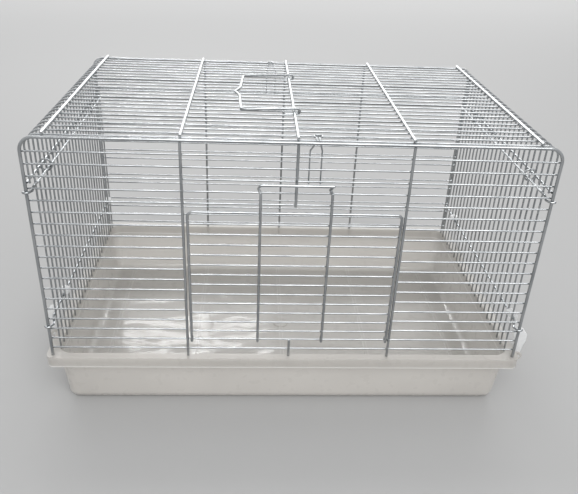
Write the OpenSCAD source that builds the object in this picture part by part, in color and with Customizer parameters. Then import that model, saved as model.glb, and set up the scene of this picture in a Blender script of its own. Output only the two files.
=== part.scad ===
// Wire cage with a plastic tray: sizes in millimetres, Z up, front towards -Y.
// The origin is on the ground under the middle of the tray.

/* [Wire top] */
// Half width between the corner posts, centre to middle
post_x = 234; // [180:0.5:300]
// Half depth from the middle to the plane of the front and back frames
frame_y = 142; // [110:0.5:200]
// Height of the frame's top bar above the tray rim
top_rise = 228; // [160:1:320]
// Radius of the frame's upper corners, on the wire's centre
frame_corner_r = 13; // [6:1:30]
// Spacing of the thin wires, front to back and top to bottom
pitch = 11.5; // [9:0.5:16]
// Spacing of the three stiffening wires of the front and the roof
upright_step = 101; // [70:0.5:130]
// Spacing of the three stiffening wires of the back
back_upright_step = 99; // [70:0.5:130]
// Offset of the outermost roof stiffeners from the middle
outer_runner_x = 215; // [180:1:222]

/* [Wire thickness] */
// Frame wire
frame_d = 3; // [2:0.1:4]
// Uprights, roof stiffeners, door frame and handles
upright_d = 2.6; // [2:0.1:3.4]
// Thin grille wire
thin_d = 1.8; // [1.2:0.1:2.4]
// Rails along the sides
rail_d = 2.2; // [1.8:0.1:3]
// Spring clips on the roof
top_clip_d = 1.4; // [1:0.1:1.5]

/* [Door] */
// Middle of the door, to the right of the cage's middle
door_mid_x = 1.5; // [-4:0.5:4]
// Half width of the door frame, on the wire's centre
door_half_w = 97.3; // [60:0.1:97.5]
// Height of the door frame's top bar above its hinge wire
door_rise = 141.8; // [80:0.1:144]
// Number of thin wires on the door
door_wires = 12; // [6:1:12]
// Half width of the pull handle, on the wire's centre
pull_half_w = 32; // [20:1:60]

/* [Carry handle] */
// Distance of the grip from the wire it pivots on
grip_reach = 51; // [35:1:70]
// How far the notch in the middle of the grip stands out
notch_out = 7.2; // [4:0.1:12]

/* [Tray] */
// Half width over the rim
rim_x = 240.5; // [185:0.5:310]
// Half depth over the rim
rim_y = 148; // [115:0.5:210]
// Height of the tray
tray_h = 64; // [40:1:100]
// Depth of the skirt that hangs from the rim
skirt_h = 11.2; // [6:0.1:16]
// Wall thickness
tray_t = 2.2; // [1.6:0.1:3]
// Width of each swing clip
clip_w = 8.6; // [6:0.1:9]

/* [Hidden] */
$fn = 48;
BEND_FN = 14;
TOUCH = 0.05; // running clearance of a wire eye on the wire through it
top_z = tray_h + top_rise;
row_y = frame_y - frame_d / 2 - thin_d / 2;
upright_y = row_y + thin_d / 2 + upright_d / 2;
FIRST_ROW_DROP = 13.5;
row_x = post_x + 1;
mid_x = 1; // the middle stiffeners stand a little to the right
left_x = mid_x - upright_step;
right_x = mid_x + upright_step;
ROW_FULL_TOP = 5; // rows above the door
ROW_HINGE = 18; // the row that the door turns on
ROW_LAST = 19;
roof_z = top_z + 1;
roof_r = 11; // bend of the roof wires at the sides
flange_x = post_x - 3;
flange_z0 = tray_h + 184;
first_roof_y = 137.7;
roof_pitch = first_roof_y / 12;
runner_z = roof_z + thin_d / 2 + upright_d / 2;
runner_y = frame_y - 2;
rail_x = flange_x + thin_d / 2 + rail_d / 2;
flange_rail_z = tray_h + 185.5;
side_x = 228.4;
side_y = 132.25;
side_z1 = tray_h + 191;
top_rail_x = side_x - thin_d / 2 - rail_d / 2;
top_rail_z = tray_h + 183;
top_hook_z = tray_h + 177.5;
low_rail_x = side_x + thin_d / 2 + rail_d / 2;
low_rail_z = tray_h + 41.5;
low_hook_z = tray_h + 35;
eye_r = thin_d / 2 + TOUCH + upright_d / 2;
hinge_z = row_z(ROW_HINGE);
leg_y = row_y + eye_r;
door_z = hinge_z + door_rise;
DOOR_CORNER_R = 5;
pull_z = row_z(4);
carry_eye_r = upright_d + TOUCH;
carry_y = 5.5 * roof_pitch; // midway between two roof wires
CARRY_CORNER_R = 6;
SOCKET_DEPTH = 9;
SOCKET_GAP = 0.2;
RIM_CORNER_R = 8;
wall_x = rim_x - 7.3; // outside of the wall under the rim
wall_y = rim_y - 6.3;
WALL_CORNER_R = 16.5;
WALL_DRAFT = 5.5;
FLOOR_EDGE_R = 10.5;
core_x = wall_x - WALL_CORNER_R;
core_y = wall_y - WALL_CORNER_R;
PIN_D = 3;
PIN_GAP = 0.2;
pin_x = rim_x + 4;
pin_z = tray_h - 6;
EAR_T = 2.5;
clip_far_y = 126.5; // clips nearer the corners: front right, back left
clip_near_y = 92; // the other two

function row_z(k) = top_z - FIRST_ROW_DROP - pitch * (k - 1);
function unit(v) = v / norm(v);
function across(u) = unit(cross(u, abs(u.z) < 0.9 ? [0, 0, 1] : [1, 0, 0]));
function arc_point(c, r, a) = [c.x + r * cos(a), c.y + r * sin(a), c.z];
function arc_points(c, r, a0, a1, step) = [for (a = [a0 : step : a1]) arc_point(c, r, a)];

// A straight round wire from a to b.
module wire(a, b, d) {
    u = unit(b - a);
    n = across(u);
    m = cross(u, n);
    multmatrix([[n.x, m.x, u.x, a.x], [n.y, m.y, u.y, a.y], [n.z, m.z, u.z, a.z], [0, 0, 0, 1]])
        cylinder(h = norm(b - a), d = d);
}

// A wire bent through the points, with small round bends.
module bent_wire(points, d)
    for (i = [0 : len(points) - 2])
        hull() {
            translate(points[i]) sphere(d = d, $fn = BEND_FN);
            translate(points[i + 1]) sphere(d = d, $fn = BEND_FN);
        }

// A round bend about c in the plane of X and Z, or of Y and Z.
module bend_xz(c, r, start, sweep, d)
    translate(c) rotate([90, 0, 0]) rotate([0, 0, start])
        rotate_extrude(angle = sweep) translate([r, 0]) circle(d = d);
module bend_yz(c, r, start, sweep, d)
    translate(c) rotate([90, 0, 90]) rotate([0, 0, start])
        rotate_extrude(angle = sweep) translate([r, 0]) circle(d = d);

// An arch from two feet at z0 up to a bar at z1, centred on mid.
module arch(mid, half_w, y, z0, z1, r, d) {
    wire([mid - half_w + r, y, z1], [mid + half_w - r, y, z1], d);
    for (s = [-1, 1]) {
        wire([mid + s * half_w, y, z0], [mid + s * half_w, y, z1 - r], d);
        bend_xz([mid + s * (half_w - r), y, z1 - r], r, s > 0 ? 0 : 90, 90, d);
    }
}

module rows(x0, x1, y, first, last)
    for (k = [first : last])
        wire([x0, y, row_z(k)], [x1, y, row_z(k)], thin_d);

// ---- frames and flat panels ----
module panel_frame(y)
    arch(0, post_x, y, tray_h - SOCKET_DEPTH, top_z, frame_corner_r, frame_d);

module upright(x, y, z1)
    wire([x, y, tray_h - SOCKET_DEPTH], [x, y, z1], upright_d);

module front_frame() color("silver") panel_frame(-frame_y);

module front_rows_above_door() color("silver")
    rows(-row_x, row_x, -row_y, 1, ROW_FULL_TOP);

module front_rows_left_of_door() color("silver")
    rows(-row_x, left_x + 1, -row_y, ROW_FULL_TOP + 1, ROW_HINGE - 1);

module front_rows_right_of_door() color("silver")
    rows(right_x - 1, row_x, -row_y, ROW_FULL_TOP + 1, ROW_HINGE - 1);

module door_hinge_wire() color("silver") rows(-row_x, row_x, -row_y, ROW_HINGE, ROW_HINGE);

module front_bottom_wire() color("silver") rows(-row_x, row_x, -row_y, ROW_LAST, ROW_LAST);

module front_uprights() color("silver") {
    for (x = [left_x, right_x])
        upright(x, -upright_y, top_z - frame_d / 2);
    upright(mid_x, -upright_y, hinge_z + 1);
    wire([mid_x, -upright_y, row_z(ROW_FULL_TOP) - 1], [mid_x, -upright_y, top_z - frame_d / 2],
        upright_d);
}

module back_frame() color("silver") panel_frame(frame_y);

module back_rows() color("silver") rows(-row_x, row_x, row_y, 1, ROW_LAST);

module back_uprights() color("silver")
    for (k = [-1 : 1])
        upright(mid_x / 2 + back_upright_step * k, upright_y, top_z - frame_d / 2);

// ---- door ----
module leg_eye(x, d)
    bend_yz([x, -row_y, hinge_z], eye_r, 180, 240, d);

module door_frame() color("gainsboro") {
    arch(door_mid_x, door_half_w, -leg_y, hinge_z, door_z, DOOR_CORNER_R, upright_d);
    for (s = [-1, 1])
        leg_eye(door_mid_x + s * door_half_w, upright_d);
}

module door_cross_wires() color("gainsboro") {
    y = leg_y - upright_d / 2 - thin_d / 2;
    step = (door_rise - 22.8) / (door_wires - 1);
    half = door_half_w + 1;
    for (k = [0 : door_wires - 1]) {
        z = hinge_z + 10 + step * k;
        wire([door_mid_x - half, -y, z], [door_mid_x + half, -y, z], thin_d);
    }
}

module door_pull_handle() color("gainsboro") {
    half = pull_half_w;
    eye = [for (a = [60 : -24 : -180]) [-row_y + eye_r * cos(a), hinge_z + eye_r * sin(a)]];
    rise = [[-leg_y, hinge_z + 3], [-leg_y - upright_d - 0.02, door_z],
        [-row_y - 2.8, pull_z + 0.5]];
    catch = [-row_y + 0.6, pull_z + 3.6];
    bar = [[-row_y - 4.2, pull_z + 8.5], [-row_y - 8.2, pull_z + 10.5]];
    for (s = [-1, 1]) {
        x = door_mid_x + s * half;
        bent_wire(concat([for (p = concat(eye, rise)) [x, p.x, p.y]],
            [[x - 2, catch.x, catch.y]], [for (p = bar) [x, p.x, p.y]]), upright_d);
    }
    bent_wire([for (s = [-1, 1]) [door_mid_x + s * half, bar[1].x, bar[1].y]], upright_d);
}

// ---- roof ----
module roof_wires() color("silver")
    for (k = [0 : 24]) {
        y = roof_pitch * k - first_roof_y;
        wire([roof_r - flange_x, y, roof_z], [flange_x - roof_r, y, roof_z], thin_d);
        for (s = [-1, 1]) {
            wire([s * flange_x, y, flange_z0], [s * flange_x, y, roof_z - roof_r], thin_d);
            bend_xz([s * (flange_x - roof_r), y, roof_z - roof_r], roof_r, s > 0 ? 0 : 90, 90,
                thin_d);
        }
    }

module roof_runners() color("silver")
    for (x = [-outer_runner_x, left_x, mid_x, right_x, outer_runner_x])
        wire([x, -runner_y, runner_z], [x, runner_y, runner_z], upright_d);

module roof_flange_rails() color("silver")
    for (s = [-1, 1])
        wire([s * rail_x, -runner_y, flange_rail_z], [s * rail_x, runner_y, flange_rail_z], rail_d);

// Made level, then let down until the tip of its notch lies on the roof.
module carry_handle() color("gainsboro") {
    TAIL = 8.5;
    EYE_X = 2.5;
    NOTCH_HALF = 14;
    BULGE = 2.2;
    REST_GAP = 0.06;
    r = carry_eye_r;
    corner = CARRY_CORNER_R - grip_reach;
    tip = -grip_reach - notch_out;
    eye = [for (a = [-90 : 30 : 90]) [EYE_X + r * cos(a), carry_y, r * sin(a)]];
    turn = [for (a = [18 : 18 : 90]) CARRY_CORNER_R * [sin(a), cos(a)]];
    half = concat([[-TAIL, carry_y, -r]], eye, [[corner, carry_y, r]],
        [for (t = turn) [corner - t.x, carry_y - CARRY_CORNER_R + t.y, r]],
        [[-grip_reach - BULGE, NOTCH_HALF, r]]);
    last = len(half) - 1;
    translate([mid_x, 0, runner_z]) rotate([0, -asin((r - REST_GAP) / -tip), 0])
        bent_wire(concat(half, [[tip, 0, r]],
            [for (i = [last : -1 : 0]) [half[i].x, -half[i].y, half[i].z]]), upright_d);
}

// A sprung wire loop: hooked under a row inside, its head lying over the roof wires.
module roof_clip() {
    LEG_X = [11.5, 22];
    NECK_X = [16.6, 19.2];
    HEAD_X = [15, 22];
    r = thin_d / 2 + top_clip_d / 2 + TOUCH;
    inside_y = r - row_y;
    row3 = row_z(3);
    over = roof_z + r + 0.1;
    head_end = 11.6 - row_y;
    hook = [for (a = [200 : 32 : 360]) [r * cos(a) - row_y, row3 + r * sin(a)]];
    for (i = [0, 1])
        bent_wire(concat([for (p = hook) [LEG_X[i], p.x, p.y]], [[LEG_X[i], inside_y, row3 + 28.5],
            [(LEG_X[i] + NECK_X[i]) / 2, -row_y - 0.1, top_z - 3.5],
            [NECK_X[i], -row_y - 0.15, roof_z + 0.4], [NECK_X[i], -row_y + 0.7, roof_z + 1.75],
            [NECK_X[i], -row_y + 3.1, over], [HEAD_X[i], -row_y + 6.6, over],
            [HEAD_X[i], head_end - 1.6, over], [HEAD_X[i] + (i > 0 ? -1.6 : 1.6), head_end, over]]),
            top_clip_d);
    bent_wire([[HEAD_X[0] + 1.6, head_end, over], [HEAD_X[1] - 1.6, head_end, over]], top_clip_d);
}

module roof_clip_front() color("white") roof_clip();
module roof_clip_back() color("white") rotate([0, 0, 180]) roof_clip();

// ---- sides ----
module side_wires(s)
    for (k = [0 : 23])
        wire([s * side_x, pitch * k - side_y, tray_h],
            [s * side_x, pitch * k - side_y, side_z1], thin_d);

// The rail's end runs outward and hooks round the front of the post.
module hooked_rail(s, x, z, hook_z) {
    HOOK_R = 2.62;
    START = 205;
    c = [post_x, -frame_y, hook_z];
    p = arc_point(c, HOOK_R, START);
    q = p + 5 * [sin(START), -cos(START), 0];
    end = concat([[x, 9 - frame_y, z], [(x + q.x) / 2, 5.2 - frame_y, z - 1],
        [q.x, 5 - frame_y, hook_z + 2], q],
        arc_points(c, 2.75, START, 330, 25));
    mirror([s > 0 ? 0 : 1, 0, 0]) {
        for (m = [0, 1])
            mirror([0, m, 0])
                bent_wire(end, rail_d);
        bent_wire([[x, 9 - frame_y, z], [x, frame_y - 9, z]], rail_d);
    }
}

// A ring closed round the rail of the roof's flange and the rail of the side.
module joining_rings(s)
    for (y = [-94.8, 71.8]) {
        dx = (rail_x - top_rail_x) / 2;
        dz = (flange_rail_z - top_rail_z) / 2;
        RING_D = 2;
        r = norm([dx, dz]) + rail_d / 2 + RING_D / 2;
        translate([s * (top_rail_x + dx), y, top_rail_z + dz]) rotate([90, 0, 0])
            rotate_extrude() translate([r, 0]) circle(d = RING_D);
    }

module left_side_wires() color("silver") side_wires(-1);
module right_side_wires() color("silver") side_wires(1);
module left_top_rail() color("silver") hooked_rail(-1, top_rail_x, top_rail_z, top_hook_z);
module right_top_rail() color("silver") hooked_rail(1, top_rail_x, top_rail_z, top_hook_z);
module left_lower_rail() color("silver") hooked_rail(-1, low_rail_x, low_rail_z, low_hook_z);
module right_lower_rail() color("silver") hooked_rail(1, low_rail_x, low_rail_z, low_hook_z);
module left_joining_rings() color("silver") joining_rings(-1);
module right_joining_rings() color("silver") joining_rings(1);

// ---- tray ----
// Wall section: distance out from the corner's centre against height.
function tray_section() = let (e = FLOOR_EDGE_R, w = WALL_CORNER_R - WALL_DRAFT, c = w - e)
    concat([[0, 0], [c, 0]],
        [for (a = [15 : 15 : 75]) [c + e * sin(a), e - e * cos(a)]],
        [[w, e], [WALL_CORNER_R, tray_h], [WALL_CORNER_R - tray_t, tray_h], [w - tray_t, e]],
        [for (a = [75 : -15 : 15]) [c + (e - tray_t) * sin(a), e - (e - tray_t) * cos(a)]],
        [[c, tray_t], [0, tray_t]]);

module rounded(half_x, half_y, r) {
    square([2 * half_x, 2 * (half_y - r)], center = true);
    square([2 * (half_x - r), 2 * half_y], center = true);
    for (x = [-1, 1], y = [-1, 1])
        translate([x * (half_x - r), y * (half_y - r)]) circle(r = r);
}

module tub() {
    for (turn = [0, 180])
        rotate([0, 0, turn]) {
            translate([core_x, core_y, 0]) rotate_extrude(angle = 90) polygon(tray_section());
            translate([-core_x, core_y, 0]) rotate([0, 0, 90])
                rotate_extrude(angle = 90) polygon(tray_section());
            translate([-core_x, core_y, 0]) rotate([90, 0, 90])
                linear_extrude(2 * core_x) polygon(tray_section());
            translate([core_x, core_y, 0]) rotate([90, 0, 0])
                linear_extrude(2 * core_y) polygon(tray_section());
        }
    translate([-core_x, -core_y, 0]) cube([2 * core_x, 2 * core_y, tray_t]);
}

module rim() difference() {
    translate([0, 0, tray_h - skirt_h]) linear_extrude(skirt_h) rounded(rim_x, rim_y, RIM_CORNER_R);
    translate([0, 0, tray_h - skirt_h - 1]) linear_extrude(skirt_h - 1)
        rounded(rim_x - 1.8, rim_y - 1.8, RIM_CORNER_R - 1.8);
    translate([0, 0, tray_h - 5]) linear_extrude(10)
        rounded(wall_x - 1, wall_y - 1, WALL_CORNER_R - 1);
}

function socket_places() = concat(
    [for (x = [-post_x, post_x], y = [-frame_y, frame_y]) [x, y, frame_d]],
    [for (k = [-1 : 1]) [mid_x + upright_step * k, -upright_y, upright_d]],
    [for (k = [-1 : 1]) [mid_x / 2 + back_upright_step * k, upright_y, upright_d]]);

module clip_ear(x, y)
    difference() {
        union() {
            translate([x, y, pin_z]) rotate([90, 0, 0]) cylinder(h = EAR_T, r = 4, center = true);
            translate([x - 4.5, y - EAR_T / 2, pin_z - 4]) cube([4.5, EAR_T, 8]);
        }
        translate([x, y, pin_z]) rotate([90, 0, 0])
            cylinder(h = EAR_T + 2, d = PIN_D + PIN_GAP, center = true);
    }

module tray() color("white", 0.7) difference() {
    union() {
        tub();
        rim();
        for (p = socket_places())
            translate([p.x, p.y, tray_h - SOCKET_DEPTH - 1.5])
                cylinder(h = SOCKET_DEPTH, r = p.z / 2 + 2);
        for (x = [-200 : 100 : 200])
            translate([x - 2, -core_y, tray_t - 0.5]) cube([4, 2 * core_y, 1.3]);
        for (turn = [0, 180], c = [[1, -clip_far_y], [1, clip_near_y]], side = [-1, 1])
            rotate([0, 0, turn]) clip_ear(pin_x, c.y + side * (clip_w + EAR_T + 0.6) / 2);
        translate([0, 0, tray_t - 0.5]) cylinder(h = 1.6, r = 9);
    }
    for (p = socket_places())
        translate([p.x, p.y, tray_h - SOCKET_DEPTH])
            cylinder(h = SOCKET_DEPTH + 5, d = p.z + SOCKET_GAP);
    translate([0, 0, tray_t + 0.6]) cylinder(h = 2, r = 7.5);
}

// A hook that swings about a pin on the skirt and snaps over the side's lower rail.
module tray_clip() {
    LIP_R = 50.85; // the hook's inside follows this radius about the pin
    inner = [for (x = [231.8, 230.4, 229, 227.6, 226.4])
        [x, pin_z + sqrt(pow(LIP_R, 2) - pow(pin_x - x, 2))]];
    side = concat([[pin_x - 2.2, pin_z - 2.5], [pin_x - 2.6, tray_h + 4], [231.8, 96]], inner,
        [[225.2, 106.6], [225.8, 109.6], [229.5, 111.6], [233, 110.6], [234.6, 107.5], [236, 98],
        [240, 91], [245, 87.5], [248.5, 86], [250, 83], [250, 76], [248.3, 71], [247.3, 64],
        [pin_x + 2.2, pin_z - 2.5]]);
    translate([0, clip_w / 2, 0]) rotate([90, 0, 0]) linear_extrude(clip_w) polygon(side);
    translate([pin_x, 0, pin_z]) rotate([90, 0, 0]) cylinder(h = clip_w, d = 7, center = true);
    translate([pin_x, 0, pin_z]) rotate([90, 0, 0])
        cylinder(h = clip_w + 2 * EAR_T + 2, d = PIN_D, center = true);
}

module tray_clip_front_right() color("white") translate([0, -clip_far_y, 0]) tray_clip();
module tray_clip_back_right() color("white") translate([0, clip_near_y, 0]) tray_clip();
module tray_clip_back_left() color("white")
    translate([0, clip_far_y, 0]) rotate([0, 0, 180]) tray_clip();
module tray_clip_front_left() color("white")
    translate([0, -clip_near_y, 0]) rotate([0, 0, 180]) tray_clip();

tray();
tray_clip_front_left();
tray_clip_front_right();
tray_clip_back_left();
tray_clip_back_right();
front_frame();
front_rows_above_door();
front_rows_left_of_door();
front_rows_right_of_door();
door_hinge_wire();
front_bottom_wire();
front_uprights();
door_frame();
door_cross_wires();
door_pull_handle();
back_frame();
back_rows();
back_uprights();
roof_wires();
roof_runners();
roof_flange_rails();
carry_handle();
roof_clip_front();
roof_clip_back();
left_side_wires();
left_top_rail();
left_lower_rail();
left_joining_rings();
right_side_wires();
right_top_rail();
right_lower_rail();
right_joining_rings();
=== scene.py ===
import math

import bmesh
import bpy
from mathutils import Matrix, Vector


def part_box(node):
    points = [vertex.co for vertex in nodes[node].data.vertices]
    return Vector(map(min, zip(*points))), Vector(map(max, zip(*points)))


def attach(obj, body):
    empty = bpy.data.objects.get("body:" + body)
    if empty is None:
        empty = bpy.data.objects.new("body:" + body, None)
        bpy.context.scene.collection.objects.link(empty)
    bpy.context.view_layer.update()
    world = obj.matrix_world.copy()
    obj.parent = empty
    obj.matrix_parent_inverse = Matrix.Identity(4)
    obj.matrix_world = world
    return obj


# Metres, in the CAD frame.
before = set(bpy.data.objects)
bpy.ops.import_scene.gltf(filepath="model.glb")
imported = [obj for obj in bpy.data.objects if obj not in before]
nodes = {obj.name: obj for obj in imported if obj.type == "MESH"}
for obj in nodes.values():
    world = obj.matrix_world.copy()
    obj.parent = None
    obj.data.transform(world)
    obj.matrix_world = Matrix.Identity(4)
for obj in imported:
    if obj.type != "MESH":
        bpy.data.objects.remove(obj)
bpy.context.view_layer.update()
scene = bpy.context.scene

MM = 0.001


# ---- node helpers ----
def new_material(name):
    m = bpy.data.materials.new(name)
    m.use_nodes = True
    nt = m.node_tree
    nt.nodes.clear()
    out = nt.nodes.new("ShaderNodeOutputMaterial")
    return m, nt, out


def noise(nt, coord, scale, detail, stretch=(1, 1, 1)):
    mapping = nt.nodes.new("ShaderNodeMapping")
    mapping.inputs["Scale"].default_value = stretch
    nt.links.new(coord, mapping.inputs["Vector"])
    n = nt.nodes.new("ShaderNodeTexNoise")
    n.inputs["Scale"].default_value = scale
    n.inputs["Detail"].default_value = detail
    nt.links.new(mapping.outputs[0], n.inputs["Vector"])
    return n.outputs["Fac"]


def ramp(nt, fac, stops):
    """Colours along fac, as (position, colour) stops in order."""
    r = nt.nodes.new("ShaderNodeValToRGB")
    elements = r.color_ramp.elements
    elements[0].position, elements[0].color = stops[0]
    elements[1].position, elements[1].color = stops[-1]
    for position, colour in stops[1:-1]:
        elements.new(position).color = colour
    nt.links.new(fac, r.inputs[0])
    return r.outputs[0]


def spread(nt, fac, lo, hi):
    """Carries the middle of a noise's range, 0.3 to 0.7, to lo and hi."""
    r = nt.nodes.new("ShaderNodeMapRange")
    r.inputs["From Min"].default_value = 0.3
    r.inputs["From Max"].default_value = 0.7
    r.inputs["To Min"].default_value = lo
    r.inputs["To Max"].default_value = hi
    nt.links.new(fac, r.inputs["Value"])
    return r.outputs[0]


def bump(nt, fac, strength, distance):
    b = nt.nodes.new("ShaderNodeBump")
    b.inputs["Strength"].default_value = strength
    b.inputs["Distance"].default_value = distance
    nt.links.new(fac, b.inputs["Height"])
    return b.outputs[0]


def calc(nt, operation, a, b):
    """A maths node on a and b, where b is a number or another node's output."""
    n = nt.nodes.new("ShaderNodeMath")
    n.operation = operation
    nt.links.new(a, n.inputs[0])
    if isinstance(b, float):
        n.inputs[1].default_value = b
    else:
        nt.links.new(b, n.inputs[1])
    return n.outputs[0]


def band(nt, value, middle, half):
    """1 where the value lies within half of the middle, else 0."""
    n = nt.nodes.new("ShaderNodeMath")
    n.operation = "COMPARE"
    n.inputs[1].default_value = middle
    n.inputs[2].default_value = half
    nt.links.new(value, n.inputs[0])
    return n.outputs[0]


# ---- materials ----
SKIRT_Z = 53.2 * MM
RIB_EDGES = [x * MM for x in (1.8, 98.2, 101.8, 198.2, 201.8)]
FLOOR_MIDDLE, FLOOR_HALF = 2.5 * MM, 1.5 * MM  # heights that hold the tray floor's top faces
# colour of the painted highlight lines on the tray's rim and floor ribs
PAINTED_HIGHLIGHT = (0.95, 0.95, 0.94, 1)


def zinc(name, dark, light, rough):
    """Plated wire: metal with soft clouds and a little roughness."""
    m, nt, out = new_material(name)
    coord = nt.nodes.new("ShaderNodeTexCoord").outputs["Object"]
    p = nt.nodes.new("ShaderNodeBsdfPrincipled")
    p.inputs["Metallic"].default_value = 1.0
    cloud = noise(nt, coord, 60, 4)
    fine = noise(nt, coord, 240, 0)
    colour = ramp(nt, cloud, [(0.3, (*dark, 1)), (0.7, (*light, 1))])
    nt.links.new(colour, p.inputs["Base Color"])
    nt.links.new(spread(nt, fine, rough - 0.03, rough + 0.05), p.inputs["Roughness"])
    nt.links.new(bump(nt, fine, 0.05, 0.2 * MM), p.inputs["Normal"])
    nt.links.new(p.outputs[0], out.inputs["Surface"])
    return m


def paint_edge_highlights(nt, coord, base):
    """Painted highlights: paler colour mixed in along the tray's lower rim at SKIRT_Z and along
    the rib sides on the tray floor, standing in for light that gathers there.
    """
    sep = nt.nodes.new("ShaderNodeSeparateXYZ")
    nt.links.new(coord, sep.inputs[0])
    x = calc(nt, "ABSOLUTE", sep.outputs["X"], 0.0)
    # painted highlight along the tray's lower rim
    skirt_highlight = calc(nt, "MULTIPLY", band(nt, sep.outputs["Z"], SKIRT_Z, 0.6 * MM), 0.8)
    # painted highlight along the sides of the floor ribs
    rib_highlights = band(nt, x, RIB_EDGES[0], 0.4 * MM)
    for edge in RIB_EDGES[1:]:
        rib_highlights = calc(nt, "MAXIMUM", rib_highlights, band(nt, x, edge, 0.5 * MM))
    rib_highlights = calc(nt, "MULTIPLY", rib_highlights, band(nt, sep.outputs["Z"], FLOOR_MIDDLE, FLOOR_HALF))
    rib_highlights = calc(nt, "MULTIPLY", rib_highlights, 0.45)
    mix = nt.nodes.new("ShaderNodeMixRGB")
    mix.inputs["Color2"].default_value = PAINTED_HIGHLIGHT
    nt.links.new(calc(nt, "MAXIMUM", skirt_highlight, rib_highlights), mix.inputs["Fac"])
    nt.links.new(base, mix.inputs["Color1"])
    return mix.outputs[0]


def frosted(name, tint, rough, see, painted_highlights=False):
    """Milky plastic: a glossy coat with slow waves, some glow, and see of it clear."""
    m, nt, out = new_material(name)
    coord = nt.nodes.new("ShaderNodeTexCoord").outputs["Object"]
    p = nt.nodes.new("ShaderNodeBsdfPrincipled")
    darker = [0.93 * c for c in tint]
    base = ramp(nt, noise(nt, coord, 22, 4), [(0.3, (*darker, 1)), (0.7, (*tint, 1))])
    # paler painted highlight lines at the rim and the floor ribs
    if painted_highlights:
        base = paint_edge_highlights(nt, coord, base)
    nt.links.new(base, p.inputs["Base Color"])
    p.inputs["IOR"].default_value = 1.46
    grain = noise(nt, coord, 110, 1)
    nt.links.new(spread(nt, grain, rough - 0.04, rough + 0.04), p.inputs["Roughness"])
    wave = noise(nt, coord, 16, 1, stretch=(1, 1.8, 1))
    nt.links.new(bump(nt, wave, 0.5, 3 * MM), p.inputs["Coat Normal"])
    p.inputs["Coat Weight"].default_value = 0.6
    p.inputs["Coat Roughness"].default_value = 0.06
    glow = nt.nodes.new("ShaderNodeBsdfTranslucent")
    glow.inputs[0].default_value = (*[min(1, 1.5 * c) for c in tint], 1)
    milky = nt.nodes.new("ShaderNodeMixShader")
    milky.inputs[0].default_value = 0.4
    nt.links.new(p.outputs[0], milky.inputs[1])
    nt.links.new(glow.outputs[0], milky.inputs[2])
    through = nt.nodes.new("ShaderNodeBsdfTransparent")
    through.inputs[0].default_value = (0.97, 0.98, 0.98, 1)
    mix = nt.nodes.new("ShaderNodeMixShader")
    mix.inputs[0].default_value = see
    nt.links.new(milky.outputs[0], mix.inputs[1])
    nt.links.new(through.outputs[0], mix.inputs[2])
    nt.links.new(mix.outputs[0], out.inputs["Surface"])
    return m


wire_mat = zinc("zinc_wire", (0.33, 0.345, 0.355), (0.47, 0.485, 0.495), rough=0.22)
# the tray's material carries painted highlight lines at its rim and floor ribs
tray_mat = frosted("frosted_tray", (0.57, 0.553, 0.53), rough=0.3, see=0.2, painted_highlights=True)
clip_mat = frosted("clip_plastic", (0.74, 0.745, 0.75), rough=0.25, see=0.08)

for name, obj in nodes.items():
    mat = wire_mat
    if name == "tray":
        mat = tray_mat
    elif name.startswith("tray_clip"):
        mat = clip_mat
    obj.data.materials.clear()
    obj.data.materials.append(mat)
    for poly in obj.data.polygons:
        poly.material_index = 0


# ---- weld nubs where the wires cross ----
WELD_R = 0.95 * MM
# wire diameters and corner radii, as in the CAD
FRAME_D, FRAME_R = 3 * MM, 13 * MM
THIN_D, ROOF_R = 1.8 * MM, 11 * MM
DOOR_D, DOOR_R = 2.6 * MM, 5 * MM
RAIL_D = 2.2 * MM


def corners(points):
    """Lowest and highest corner of the box round the points."""
    lo = Vector([min(p[i] for p in points) for i in range(3)])
    hi = Vector([max(p[i] for p in points) for i in range(3)])
    return lo, hi


def loose_boxes(name):
    """Box of each separate wire of a node."""
    bm = bmesh.new()
    bm.from_mesh(nodes[name].data)
    bmesh.ops.remove_doubles(bm, verts=bm.verts, dist=1e-6)
    seen, boxes = set(), []
    for start in bm.verts:
        if start in seen:
            continue
        seen.add(start)
        stack, group = [start], []
        while stack:
            v = stack.pop()
            group.append(v.co)
            for e in v.link_edges:
                w = e.other_vert(v)
                if w not in seen:
                    seen.add(w)
                    stack.append(w)
        boxes.append(corners(group))
    bm.free()
    return boxes


def arch_boxes(box, d, r):
    """Left leg, right leg and top bar of a wire arch with corners of radius r."""
    lo, hi = box
    top = hi.z - r - d / 2
    return [
        (Vector((lo.x, lo.y, lo.z)), Vector((lo.x + d, hi.y, top))),
        (Vector((hi.x - d, lo.y, lo.z)), Vector((hi.x, hi.y, top))),
        (Vector((lo.x + d + r, lo.y, hi.z - d)), Vector((hi.x - d - r, hi.y, hi.z))),
    ]


def crossings(first, second, slack=0.15 * MM):
    """Middle of each place where a box of the first list touches one of the second."""
    spots = []
    for a0, a1 in first:
        for b0, b1 in second:
            lo = Vector([max(a0[i], b0[i]) for i in range(3)])
            hi = Vector([min(a1[i], b1[i]) for i in range(3)])
            if all(hi[i] - lo[i] > -slack for i in range(3)):
                spots.append((lo + hi) / 2)
    return spots


def rail_box(name):
    """Box of a side rail's straight wire, whose end hooks lie further out and lower."""
    lo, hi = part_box(name)
    inside = min(abs(lo[0]), abs(hi[0]))
    x0, x1 = sorted(math.copysign(x, lo[0]) for x in (inside, inside + RAIL_D))
    return Vector((x0, lo[1], hi[2] - RAIL_D)), Vector((x1, hi[1], hi[2]))


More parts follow.
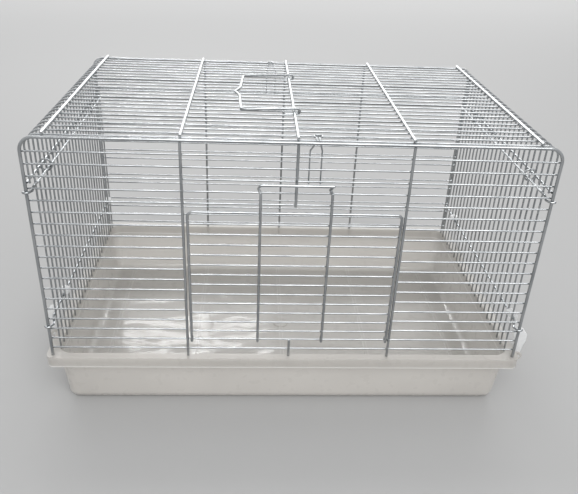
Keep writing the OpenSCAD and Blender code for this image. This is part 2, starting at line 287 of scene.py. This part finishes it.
def weld_nubs(name, spots, body):
    """A small round nub at each spot, all in one piece that rides the body."""
    bm = bmesh.new()
    size = Matrix.Diagonal((WELD_R, WELD_R, WELD_R, 1))
    for p in spots:
        place = Matrix.Translation(p) @ size
        bmesh.ops.create_icosphere(bm, subdivisions=2, radius=1.0, matrix=place)
    mesh = bpy.data.meshes.new(name)
    bm.to_mesh(mesh)
    bm.free()
    for poly in mesh.polygons:
        poly.use_smooth = True
    obj = bpy.data.objects.new(name, mesh)
    scene.collection.objects.link(obj)
    mesh.materials.append(wire_mat)
    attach(obj, body)


ROW_NODES = (
    "front_rows_above_door",
    "front_rows_left_of_door",
    "front_rows_right_of_door",
    "door_hinge_wire",
    "front_bottom_wire",
)
front_rows = [box for name in ROW_NODES for box in loose_boxes(name)]
front_bars = loose_boxes("front_uprights")
front_bars += arch_boxes(loose_boxes("front_frame")[0], FRAME_D, FRAME_R)
back_bars = loose_boxes("back_uprights")
back_bars += arch_boxes(loose_boxes("back_frame")[0], FRAME_D, FRAME_R)
roof = [part for box in loose_boxes("roof_wires") for part in arch_boxes(box, THIN_D, ROOF_R)]
lengthwise = loose_boxes("roof_runners") + loose_boxes("roof_flange_rails")

spots = crossings(front_rows, front_bars)
spots += crossings(loose_boxes("back_rows"), back_bars)
spots += crossings(roof, lengthwise)
for side in ("left", "right"):
    wires = loose_boxes(side + "_side_wires")
    for rail in ("_top_rail", "_lower_rail"):
        spots += crossings(wires, [rail_box(side + rail)])
weld_nubs("weld_nubs", spots, "cage")

lo, hi = loose_boxes("door_frame")[0]
door_arch = arch_boxes((lo, Vector((hi.x, lo.y + DOOR_D, hi.z))), DOOR_D, DOOR_R)
door_legs = door_arch[:2]
weld_nubs("door_weld_nubs", crossings(loose_boxes("door_cross_wires"), door_legs), "door")

# ---- floor, world, lights ----
bpy.ops.mesh.primitive_plane_add(size=14, location=(0, 0, -0.4 * MM))
floor = bpy.context.object
floor.name = "floor"
floor_mat, nt, out = new_material("floor")
p = nt.nodes.new("ShaderNodeBsdfPrincipled")
p.inputs["Base Color"].default_value = (0.34, 0.34, 0.34, 1)
p.inputs["Roughness"].default_value = 0.7
nt.links.new(p.outputs[0], out.inputs["Surface"])
floor.data.materials.append(floor_mat)

world = bpy.data.worlds.new("studio")
scene.world = world
world.use_nodes = True
wt = world.node_tree
coord = wt.nodes.new("ShaderNodeTexCoord")
sep = wt.nodes.new("ShaderNodeSeparateXYZ")
wt.links.new(coord.outputs["Generated"], sep.inputs[0])
SKY_STOPS = [
    (0.0, (0.7, 0.71, 0.72, 1)),
    (0.3, (0.8, 0.805, 0.81, 1)),
    (0.9, (0.95, 0.95, 0.95, 1)),
]
background = wt.nodes["Background"]
wt.links.new(ramp(wt, sep.outputs["Z"], SKY_STOPS), background.inputs[0])
background.inputs[1].default_value = 0.95


def area_light(name, loc, target, size, power):
    d = bpy.data.lights.new(name, "AREA")
    d.shape = "RECTANGLE"
    d.size, d.size_y = size
    d.energy = power
    o = bpy.data.objects.new(name, d)
    scene.collection.objects.link(o)
    o.location = loc
    o.rotation_euler = (Vector(target) - Vector(loc)).to_track_quat("-Z", "Y").to_euler()


area_light("key", (0.3, -1.9, 2.0), (0, 0, 0.1), (2.2, 1.6), 54)
area_light("sky", (0, 3.7, 1.6), (0, 0, 0.3), (5.6, 2.4), 95)
area_light("window", (-0.25, 1.35, 1.05), (0, 0, 0.05), (0.55, 0.1), 3)

# ---- camera, at the photo's place ----
SENSOR, LENS = 36, 40.2633
SHIFT_X, SHIFT_Y = 0.00346, -0.01557
CAM_AT = Vector((-0.0384, -0.6635, 0.4815))
PITCH, YAW, ROLL = math.radians(28.314), math.radians(3.61), math.radians(-2.581)

ahead = Vector(
    (math.sin(YAW) * math.cos(PITCH), math.cos(YAW) * math.cos(PITCH), -math.sin(PITCH))
)
level = Vector((math.cos(YAW), -math.sin(YAW), 0))
above = level.cross(ahead)
right = level * math.cos(ROLL) - above * math.sin(ROLL)
up = level * math.sin(ROLL) + above * math.cos(ROLL)
turn = Matrix((right, up, -ahead)).transposed()

cam_data = bpy.data.cameras.new("cam")
cam_data.sensor_width = SENSOR
cam_data.lens = LENS
cam_data.shift_x = SHIFT_X
cam_data.shift_y = SHIFT_Y
cam_data.clip_end = 20
cam = bpy.data.objects.new("cam", cam_data)
scene.collection.objects.link(cam)
cam.matrix_world = Matrix.Translation(CAM_AT) @ turn.to_4x4()
scene.camera = cam
scene.view_settings.view_transform = "Standard"
